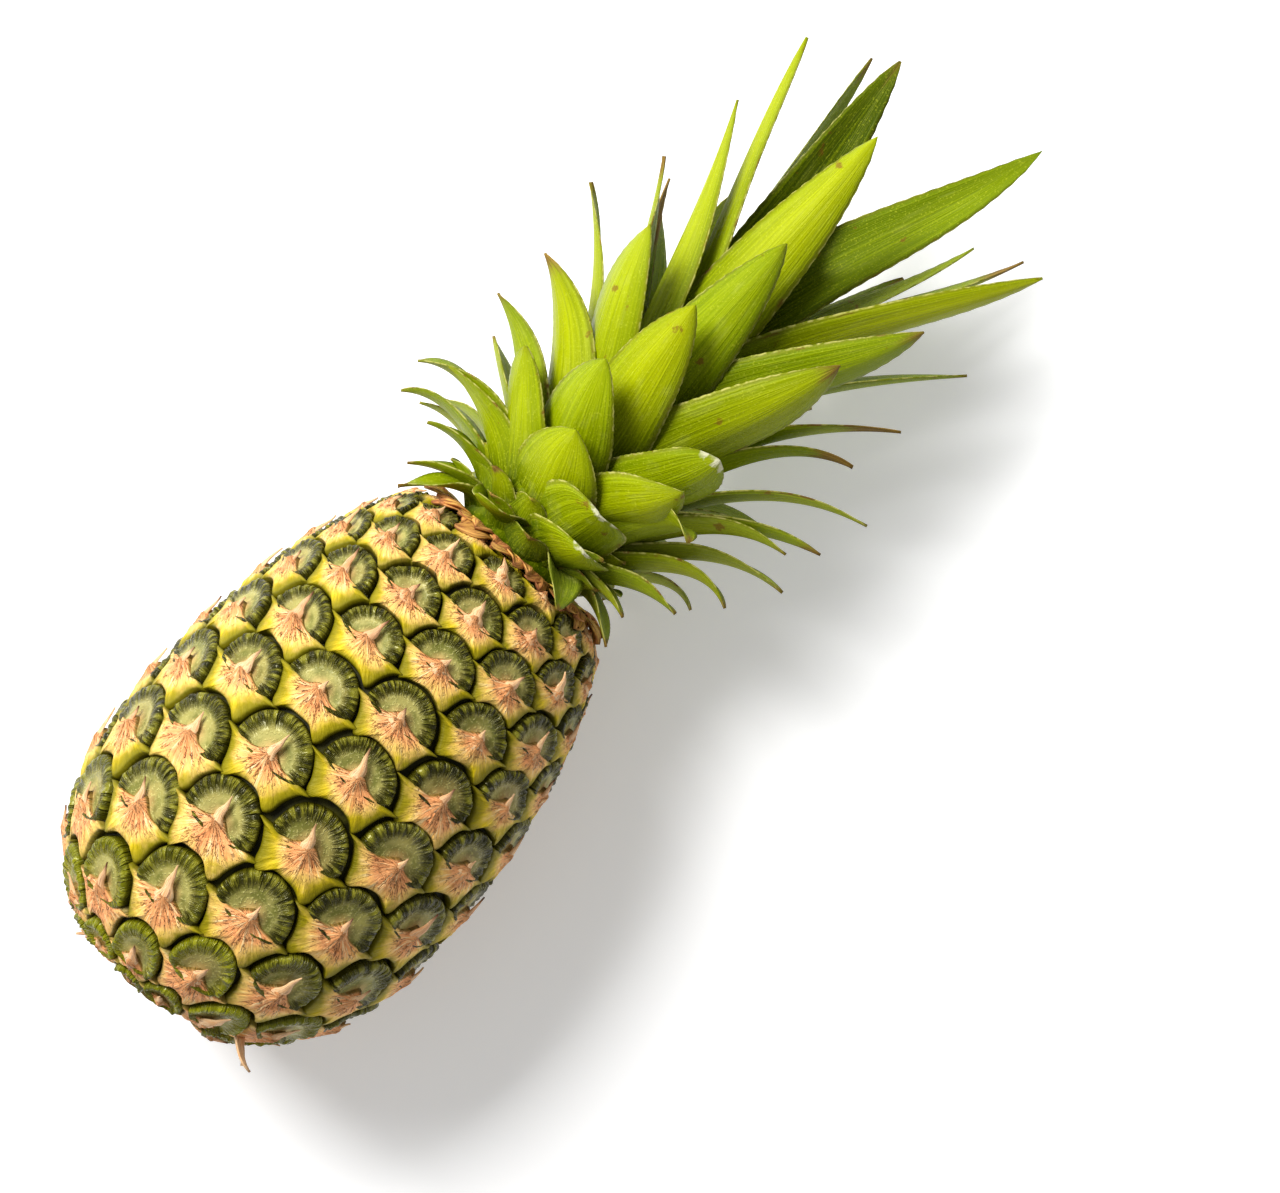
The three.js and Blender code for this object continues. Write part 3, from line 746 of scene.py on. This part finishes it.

# %% [markdown]
# The crown is a leafy stem. The leaves of its upper side are each listed one by one, because they make the
# outline that is recognised first, and the last two close over the top of the stem. Those underneath
# follow a rule. The numbers are the same as in the solids: tip along, aside and up, foot up the stem,
# turn of the foot, width, hook and bluntness, and here also how much of the leaf has dried.

# %% The leaves of the crown
LEAVES = [
    (200, 38, -12, 74, 165, 25, 12, 2, 0.0),
    (190, -12, 0, 76, 200, 27, 5, 2, 0.04),
    (188, -20, -18, 70, 245, 16, 8, 2, 0.06),
    (175, -37, 12, 66, -72, 19, 12, 2, 0.02),
    (164, -1, 30, 58, -12, 27, 8, 2.4, 0.02),
    (167, 63, 15, 56, 55, 24, 28, 2.2, 0.0),
    (170, 56, -6, 62, 110, 19, 22, 2, 0.14),
    (164, 42, -12, 64, 130, 12, 15, 2, 0.0),
    (130, 47, 30, 46, 38, 26, 22, 2.6, 0.05),
    (133, 66, -8, 48, 100, 18, 45, 2, 0.05),
    (122, 0, 38, 42, -4, 27, 14, 2.4, 0.03),
    (147, -40, 15, 50, -62, 21, 25, 2, 0.03),
    (122, -47, -5, 42, -95, 16, 32, 2, 0.1),
    (119, -42, -15, 46, -120, 13, 20, 2, 0.35),
    (101, -58, 0, 34, -90, 17, 50, 2, 0.06),
    (101, -34, 28, 34, -48, 26, 5, 4, 0.03),
    (91, -8, 40, 28, -10, 27, 10, 3, 0.02),
    (106, 35, 35, 32, 36, 28, 12, 3, 0.07),
    (106, 62, 2, 36, 85, 20, 55, 2, 0.24),
    (88, 58, 8, 28, 78, 18, 75, 3, 0.2),
    (78, 73, 2, 24, 88, 17, 78, 1.6, 0.04),
    (75, -53, 14, 22, -50, 28, 65, 3, 0.1),
    (62, -17, 42, 18, -20, 27, 12, 4, 0.02),
    (62, 27, 38, 22, 30, 24, 15, 9, 0.03),
    (48, 25, 42, 15, 20, 24, 30, 4, 0.02),
    (38, 36, 38, 11, 38, 24, 125, 3, 0.05),
    (62, 68, 8, 18, 75, 20, 75, 2, 0.1),
    (55, 60, 14, 14, 66, 20, 85, 2, 0.05),
    (46, 67, 6, 11, 82, 20, 90, 1.8, 0.05),
    (57, -56, 10, 14, -58, 24, 70, 3, 0.05),
    (47, -50, -8, 16, -105, 20, 50, 4, 0.05),
    (50, -38, 28, 10, -45, 25, 30, 3.5, 0.03),
    (41, -10, 40, 9, -10, 30, 15, 4, 0.01),
    (26, -61, 6, 10, -64, 24, 130, 2.4, 0.04),
    (31, -52, 14, 8, -56, 23, 85, 2.6, 0.03),
    (16, -60, -6, 7, -95, 18, 130, 2.2, 0.04),
    (17, -54, -14, 6, -105, 17, 115, 2, 0.04),
    (14, -46, 14, 6, -70, 18, 115, 2.2, 0.04),
    (27, 11, 40, 6, 14, 30, 60, 8, 0.03),
    (16, 15, 38, 4, 22, 27, 50, 6, 0.02),
    (31, 57, 12, 8, 76, 20, 120, 2.2, 0.05),
    (24, 50, -12, 6, 100, 17, 120, 2, 0.05),
    (20, 47, 18, 5, 62, 18, 95, 2.2, 0.05),
    (1, -43, 8, 4, -76, 16, 130, 2, 0.1),
    (8, -20, 32, 4, -28, 19, 70, 3, 0.03),
    (-2, 20, 32, 4, 30, 17, 130, 2, 0.08),
    (-6, -40, 14, 4, -62, 14, 140, 1.6, 0.12),
    (-1, 38, 14, 4, 64, 14, 130, 1.6, 0.12),
    (9, 36, 22, 5, 52, 15, 110, 1.8, 0.08),
    (130, 2.5, 4.3, 78, 30, 20, 0, 2.2, 0),
    (138, -2.5, -4.3, 78, 210, 20, 0, 2.2, 0),
]


# %% The leaves that follow a rule
GOLDEN_SHARE, GOLDEN_TURN = 0.618, 137.5  # how leaves follow each other round a stem, also in degrees
UNDER_FROM, UNDER_SWEEP = 116, 128  # degrees from the top: the sector under the crown


def aside_and_up(out, turn):
    return out * math.sin(math.radians(turn)), out * math.cos(math.radians(turn))


def under_leaves(count=20):
    made = []
    for n in range(count):
        share = n / (count - 1)
        turn = UNDER_FROM + UNDER_SWEEP * ((n * GOLDEN_SHARE + 0.3) % 1)
        out = mix(62, 36, share) * (0.92 + 0.16 * draw(n, 21))
        made.append((
            mix(6, 142, share**0.9) + 8 * draw(n, 22), *aside_and_up(out, turn),
            mix(5, 62, share), turn, mix(17, 24, math.sqrt(share)),
            mix(115, 15, share**0.7), mix(2, 3, draw(n, 23)), 0.05,
        ))
    return made


def basal_leaves(count=30):
    """Short broad leaves that wrap the foot of the crown."""
    made = []
    for n in range(count):
        share = n / count
        turn = (n * GOLDEN_TURN) % 360
        out = mix(32, 27, share) + 3 * draw(n, 24)
        made.append((
            mix(7, 22, share) + 5 * draw(n, 25), *aside_and_up(out, turn),
            mix(0.5, 9, share), turn, mix(17, 20, draw(n, 26)), mix(95, 40, share), 2.6, 0.12 * draw(n, 27),
        ))
    return made


def heart_leaves(count=6):
    """The youngest leaves, in a tight bunch at the tip of the stem."""
    made = []
    for n in range(count):
        turn = 60 + (n * GOLDEN_TURN) % 360
        out = 3 + 3 * draw(n, 28)
        made.append((
            122 + 10 * draw(n, 29), *aside_and_up(out, turn), 82, turn, mix(9, 13, draw(n, 30)), 8, 2, 0,
        ))
    return made


# %% The line of a leaf
STEM_FOOT, STEM_TOP, STEM_LENGTH = 22.0, 6.0, 92.0
FLOOR_GAP, FLOOR_EASE = 0.3, 2.0
LEAVE_FOOT, LEAVE_TOP, LEAVE_LENGTH = 0.95, 0.12, 80  # radians off the stem, at its foot and so far up it
ROOT_DEPTH = 3
FOOT_PULL, TIP_PULL = 0.4, 0.35  # how far each end's direction reaches, as a share of the length


def stem_radius(foot):
    return max(STEM_TOP, mix(STEM_FOOT, STEM_TOP, foot / STEM_LENGTH))


def leaf_line(along, side, up, foot, turn, hook):
    angle, bend = math.radians(turn), math.radians(hook)
    leave = mix(LEAVE_FOOT, LEAVE_TOP, math.sqrt(foot / LEAVE_LENGTH))
    start = around_axis(CROWN_FOOT + foot, stem_radius(foot) - ROOT_DEPTH, angle)
    tip = np.array([CROWN_FOOT + along, -side, up], float)
    away = np.array([0.0, -side, up]) / math.hypot(side, up)
    length = np.linalg.norm(tip - start)
    first = start + FOOT_PULL * length * around_axis(math.cos(leave), math.sin(leave), angle)
    last = tip - TIP_PULL * length * (math.sin(bend) * away + math.cos(bend) * np.array([1.0, 0, 0]))
    return bezier(start, first, last, tip)


def lift_off(points):
    """Leaves that would pass through the surface lie just above it."""
    lowest = FLOOR_GAP - AXIS_HEIGHT
    near = lowest + FLOOR_EASE
    low = points[:, 2] < near
    points[low, 2] = lowest + FLOOR_EASE * np.exp((points[low, 2] - near) / FLOOR_EASE)
    return points


# %% [markdown]
# A leaf blade is a shallow channel, thick in the middle and thin at its edges, which carry small teeth.
# The blade is modelled once as a sheet with a thickness, and every leaf bends its own copy. The teeth are
# points of the edge that are moved out and in by turns.

# %% Laying the leaves
LEAF_STEPS = 48
leaf_template = blade_template(8, LEAF_STEPS)
TOOTH = 0.22
LEAF_LEAST = 0.12  # half width at the very tip
FOOT_WIDTH, WIDEST_FROM = 0.72, 0.3
LEAF_THICK, LEAF_THIN = 1.9, 0.9


def lay_leaf(n, along, side, up, foot, turn, width, hook, blunt):
    line = leaf_line(along, side, up, foot, turn, hook)
    phase = ANY_PHASE * draw(n, 100)
    wave = mix(0.2, 0.7, draw(n, 101))

    def outline(s):
        return width / 2 * (1 - np.minimum(s, 0.999) ** blunt) ** 0.8

    def half_width(s, u):
        teeth = TOOTH * (np.round(s * LEAF_STEPS) % 2) * (np.abs(u) > 0.99) * (s < 0.97)
        return outline(s) * mix(FOOT_WIDTH, 1, np.minimum(1, s / WIDEST_FROM)) + teeth + LEAF_LEAST

    def thickness(s, u):
        return mix(LEAF_THICK, LEAF_THIN, s) * (1 - 0.72 * u * u)

    def arch(s, u):
        curl = outline(s) * mix(0.5, 0.3, s) * (0.35 * np.abs(u) + 0.65 * u * u)
        ripple = wave * u * u * np.sin(9 * s + phase + 1.5 * np.sign(u)) * ease(s, 0.15, 0.5)
        return curl + ripple - 0.25 * np.exp(-((u / 0.18) ** 2)) * (1 - s)

    return lift_off(lay_blade(leaf_template, line, math.radians(turn), half_width, thickness, arch))


# %% [markdown]
# The leaves are yellow-green, with fine veins along them, a pale bloom in patches, tan edges, and tips
# that have dried brown. Painted shade darkens them towards their feet, their edges and the stem. The UV
# map holds how far across and along the blade a point is.

# %% Finish of the leaves
def leaf_finish():
    finish = Finish("crown_leaf", roughness=0.42, specular=0.14, glint=WARM_GLINT)
    across, along = finish.surface()
    tone, dry, inner = finish.mark("tone"), finish.mark("dry"), finish.mark("inner")
    frost, frayed = finish.mark("frost"), finish.mark("frayed")
    side, place = across.size(), finish.place()
    veins = finish.noise(finish.vector(across * 20, along * 2.2, tone * 40), 1.0, 3.0, 0.6)
    bloom = finish.noise(finish.vector(across * 3, along * 7, tone * 20), 1.0, 4.0, 0.65)
    grain = finish.noise(place, 1500.0, 2.0)
    spots = finish.noise(place, 130.0, 4.0).between(0.67, 0.72)
    green = finish.blend(tone, paint(132, 150, 0), paint(170, 176, 0))
    green = finish.blend(inner * 0.55, green, paint(84, 106, 0))
    # Painted shade: darker towards both edges, for the round of the channel.
    green = finish.blend(side.between(0.3, 0.95) * 0.4, green, paint(92, 112, 0))
    # Painted shade: darker towards the foot of each leaf, where the leaves overlap.
    green = finish.blend(along.between(0.75, 0.1) * 0.65, green, paint(66, 86, 0))
    # Painted shade: leaves are darkened near the stem, where the leaves round them overlap.
    green = finish.blend(finish.mark("deep") * 0.85, green, paint(38, 52, 0))
    green = finish.blend(veins.between(0.4, 0.7) * 0.3, green, paint(168, 186, 12))
    green = finish.blend(veins.between(0.6, 0.35) * 0.25, green, paint(84, 112, 0))
    pale = bloom.between(0.52, 0.74) * (0.14 + 0.5 * frost) + frost * 0.2
    green = finish.blend(pale, green, paint(184, 188, 92))
    green = finish.blend(grain.between(0.56, 0.72) * 0.4, green, paint(190, 196, 50))
    green = finish.blend(side.between(0.86, 0.97) * 0.45, green, paint(96, 92, 20))
    rough = finish.noise(place, 420.0, 2.0).between(0.4, 0.6)
    green = finish.blend(side.between(0.96, 0.995) * rough * 0.55, green, paint(204, 196, 116))
    green = finish.blend(side.between(0.86, 1.0) * bloom.between(0.58, 0.64) * 0.9, green, paint(104, 70, 20))
    green = finish.blend(spots * 0.8, green, paint(124, 92, 22))
    end = (along + dry * 0.8 + bloom * 0.16 - side * 0.03).between(1.02, 1.12)
    dried = finish.blend(veins.between(0.35, 0.65), paint(80, 56, 18), paint(158, 126, 56))
    green = finish.blend(end * dry.between(0.02, 0.05), green, dried)
    torn = (along + rough * 0.05).between(0.96, 1.02) * frayed
    green = finish.blend(torn, green, paint(214, 212, 176))
    finish.set("Base Color", green)
    finish.set("Roughness", 0.36 + bloom.between(0.4, 0.7) * 0.16 + end * 0.2)
    finish.relief(veins + grain * 0.3, 0.0005, 0.7)
    return finish.material


# %% The crown is made
CUT_BLUNTNESS = 5  # a leaf blunter than this is one that was cut or torn off
FULL_SHADE_WITHIN, CLEAR_FROM = 1, 15  # millimetres off the stem within which leaves get the full painted shade, and from which they get none

leaves = Gather()
for n, (*shape, dry) in enumerate(LEAVES + under_leaves() + basal_leaves() + heart_leaves()):
    side, hook, blunt = shape[1], shape[6], shape[7]
    frost = ease(hook, 40, 110) * draw(n, 103) * ease(side, -20, 40)
    laid = lay_leaf(n, *shape)
    from_axis = np.hypot(laid[:, 1], laid[:, 2])
    stem = np.interp(laid[:, 0] - CROWN_FOOT, [0, STEM_LENGTH], [STEM_FOOT, STEM_TOP])
    # The nearer a point lies to the stem, the more painted shade it gets.
    leaves.add(
        laid, leaf_template[3], blade_map(leaf_template),
        tone=draw(n, 102), dry=dry, frost=frost, frayed=float(blunt > CUT_BLUNTNESS),
        inner=leaf_template[2] < 0, deep=1 - ease(from_axis - stem, FULL_SHADE_WITHIN, CLEAR_FROM),
    )
leaf_material = leaf_finish()
leaves.piece("crown_leaves", leaf_material, "crown", "crown_leaf")

# %% [markdown]
# The stem that carries them is hidden but for glimpses. It is a cylinder that is narrowed at its top.

# %% The crown's stem
NARROW_FROM, NARROWED = 70, 0.8


def crown_stem():
    deselect()
    bpy.ops.mesh.primitive_cylinder_add(vertices=40, radius=1, depth=1, end_fill_type="TRIFAN")
    made = bpy.context.object
    bpy.ops.object.mode_set(mode="EDIT")
    bpy.ops.mesh.select_all(action="SELECT")
    bpy.ops.mesh.subdivide(number_cuts=3)
    bpy.ops.object.mode_set(mode="OBJECT")
    points, faces = read_template(made)
    up = (points[:, 2] + 0.5) * STEM_LENGTH
    radius = np.hypot(points[:, 0], points[:, 1]) * np.array([stem_radius(u) for u in up])
    radius = radius * (1 - NARROWED * ease(up, NARROW_FROM, STEM_LENGTH))
    turn = np.arctan2(points[:, 1], points[:, 0])
    surface = np.stack([0.3 * np.sin(turn), up / STEM_LENGTH], axis=1)
    gather = Gather()
    # The stem gets most of the painted shade, as it lies among the leaves.
    gather.add(around_axis(CROWN_FOOT + up, radius, turn), faces, surface, deep=0.8)
    return gather


crown_stem().piece("crown_stem", leaf_material, "crown", "crown_leaf")

# %% [markdown]
# Between fruit and crown lie small dried leaves, brown and curled like paper. They are laid in two
# rounds, the second over the first, from the same kind of blade as the dry points.

# %% The papery collar
scrap_template = blade_template(6, 14)
# In each round: how many, how far along the foot is, its radius, the reach of the tip and its drop
COLLAR_ROUNDS = [(26, 172.2, 23, 37, 3.6), (22, 172.9, 22.5, 34.5, 2.6)]
NUMBERS_A_ROUND = 40
SCRAP_NARROW, SCRAP_WIDE, SCRAP_SHORTER = 8, 12, 5


def collar_finish():
    finish = Finish("papery_leaf", roughness=0.7, specular=0.3)
    across, along = finish.surface()
    tone = finish.mark("tone")
    fibres = finish.noise(finish.vector(across * 8, along * 2.5, tone * 50), 1.0, 4.0, 0.6)
    colour = finish.blend(tone, paint(222, 182, 84), paint(204, 132, 74))
    colour = finish.blend(fibres.between(0.42, 0.62), colour, paint(150, 88, 48))
    colour = finish.blend(along.between(0.6, 0.1) * 0.7, colour, paint(190, 180, 40))
    colour = finish.blend(along.between(0.8, 1.0) * 0.6, colour, paint(116, 62, 34))
    finish.set("Base Color", colour)
    finish.relief(fibres, 0.0005, 0.8)
    return finish.material


def scrap(n, count, foot, radius, reach, drop):
    turn = 2 * math.pi * (n + 0.6 * draw(n, 110)) / count
    long = reach - SCRAP_SHORTER * draw(n, 111)
    start = around_axis(foot, radius, turn)
    tip = around_axis(foot - drop * draw(n, 112), long, turn + 0.25 * (draw(n, 113) - 0.5))
    first = around_axis(foot + 1.8, mix(radius, long, 0.35), turn)
    last = around_axis(foot + 2.6 * draw(n, 114), mix(radius, long, 0.75), turn + 0.1)
    wide = mix(SCRAP_NARROW, SCRAP_WIDE, draw(n, 115))
    return lay_blade(
        scrap_template, bezier(start, first, last, tip, CURVE_STEPS), turn,
        lambda s, u: wide / 2 * (1 - s**2.2) ** 0.8 * (1 + 0.12 * np.sin(14 * s + n)) + 0.1,
        lambda s, u: 0.7 - 0.3 * u * u,
        lambda s, u: 0.9 * np.sin(5 * u + n) * ease(s, 0.2, 0.8) * 0.6,
    )


scraps = Gather()
for level, (count, *sizes) in enumerate(COLLAR_ROUNDS):
    for n in range(NUMBERS_A_ROUND * level, NUMBERS_A_ROUND * level + count):
        laid = scrap(n, count, *sizes)
        scraps.add(laid, scrap_template[3], blade_map(scrap_template), tone=draw(n, 116))
scraps.piece("papery_collar", collar_finish(), "collar", "papery_collar")

# %% [markdown]
# The fruit was cut from its plant, so a short stalk stands in the hollow of its base. It is the same
# kind of disc, with its edge drawn back into the hollow, and a rough cut face where fibres show as dots.

# %% The cut stalk
STALK_RADIUS, STALK_WAIST = 10.3, 0.68


def cut_stalk():
    turn, out, faces = disc_template(40, [1, 0.97, 0.93, 0.8, 0.6, 0.4, 0.2])
    depth = np.interp(out, [0, 0.6, 0.93, 0.97, 1], [0.5, 0.2, 0.0, 0.6, 7.2])
    rough = 0.25 * np.sin(7 * 2 * math.pi * turn + 9 * out) * (out < 0.95)
    radius = STALK_RADIUS * np.where(out > 0.99, STALK_WAIST, out)
    radius = radius * (1 + 0.02 * np.sin(5 * 2 * math.pi * turn))
    gather = Gather()
    laid = around_axis(STALK_END + depth + rough, radius, -2 * math.pi * turn)
    gather.add(laid, faces, np.stack([turn, out], axis=1))
    return gather


def stalk_finish():
    finish = Finish("cut_stalk", roughness=0.75, specular=0.25)
    turn, out = finish.surface()
    fibres = finish.noise(finish.place(), 420.0, 3.0)
    colour = finish.blend(fibres.between(0.4, 0.65), paint(206, 180, 122), paint(150, 116, 66))
    colour = finish.blend(out.between(0.82, 0.96), colour, paint(112, 96, 40))
    finish.set("Base Color", colour)
    finish.relief(fibres, 0.0008, 0.8)
    return finish.material


cut_stalk().piece("cut_stalk", stalk_finish(), "stalk", "cut_stalk")

# %% [markdown]
# The pineapple lies on a plain white surface, lit by one large soft light from the upper left of the
# picture, with a pale sky to fill the shadows. The camera looks straight down.

# %% The floor
FLOOR_SIZE, FLOOR_GLOW, SKY_LIGHT = 6, 0.22, 0.37
WHITE = (1, 1, 1, 1)

deselect()
bpy.ops.mesh.primitive_plane_add(size=FLOOR_SIZE, location=(0, 0, 0))
floor = bpy.context.object
floor.name = "floor"
floor_finish = Finish("white_table", roughness=0.9, specular=0.1)
floor_finish.shader.inputs["Base Color"].default_value = paint(250, 250, 250)
floor_finish.shader.inputs["Emission Color"].default_value = WHITE
floor_finish.shader.inputs["Emission Strength"].default_value = FLOOR_GLOW
floor.data.materials.append(floor_finish.material)


# %% The soft light and the sky
LIGHT_SPOT, LIGHT_AIM = Vector((0.15, 1.1, 1.25)), Vector((0, 0, 0.05))
LIGHT_SIZE, LIGHT_POWER = 0.75, 46

lamp = bpy.data.lights.new("key", "AREA")
lamp.size, lamp.energy = LIGHT_SIZE, LIGHT_POWER
key = bpy.data.objects.new("key", lamp)
bpy.context.collection.objects.link(key)
key.location = LIGHT_SPOT
key.rotation_euler = (LIGHT_AIM - LIGHT_SPOT).to_track_quat("-Z", "Y").to_euler()
world = bpy.data.worlds.new("sky")
bpy.context.scene.world = world
world.use_nodes = True
world.node_tree.nodes["Background"].inputs["Color"].default_value = WHITE
world.node_tree.nodes["Background"].inputs["Strength"].default_value = SKY_LIGHT

# %% The camera
CAMERA_HEIGHT = 1.02  # metres above the fruit's axis
VIEW_WIDTH = 0.3859  # metres across the picture at that axis
CAMERA_ALONG, CAMERA_ASIDE = 189, -35.7  # millimetres from the fruit's base and its axis
CAMERA_TURN = math.radians(-48.65)
SENSOR = 36

lens = bpy.data.cameras.new("camera")
lens.sensor_width = SENSOR
lens.lens = SENSOR * CAMERA_HEIGHT / VIEW_WIDTH
camera = bpy.data.objects.new("camera", lens)
bpy.context.collection.objects.link(camera)
camera.location = (
    (FRAME_SHIFT[0] + CAMERA_ALONG) * MM,
    (FRAME_SHIFT[1] + CAMERA_ASIDE) * MM,
    AXIS_HEIGHT * MM + CAMERA_HEIGHT,
)
camera.rotation_euler = (0, 0, CAMERA_TURN)
bpy.context.scene.camera = camera
bpy.context.scene.view_settings.view_transform = "Standard"
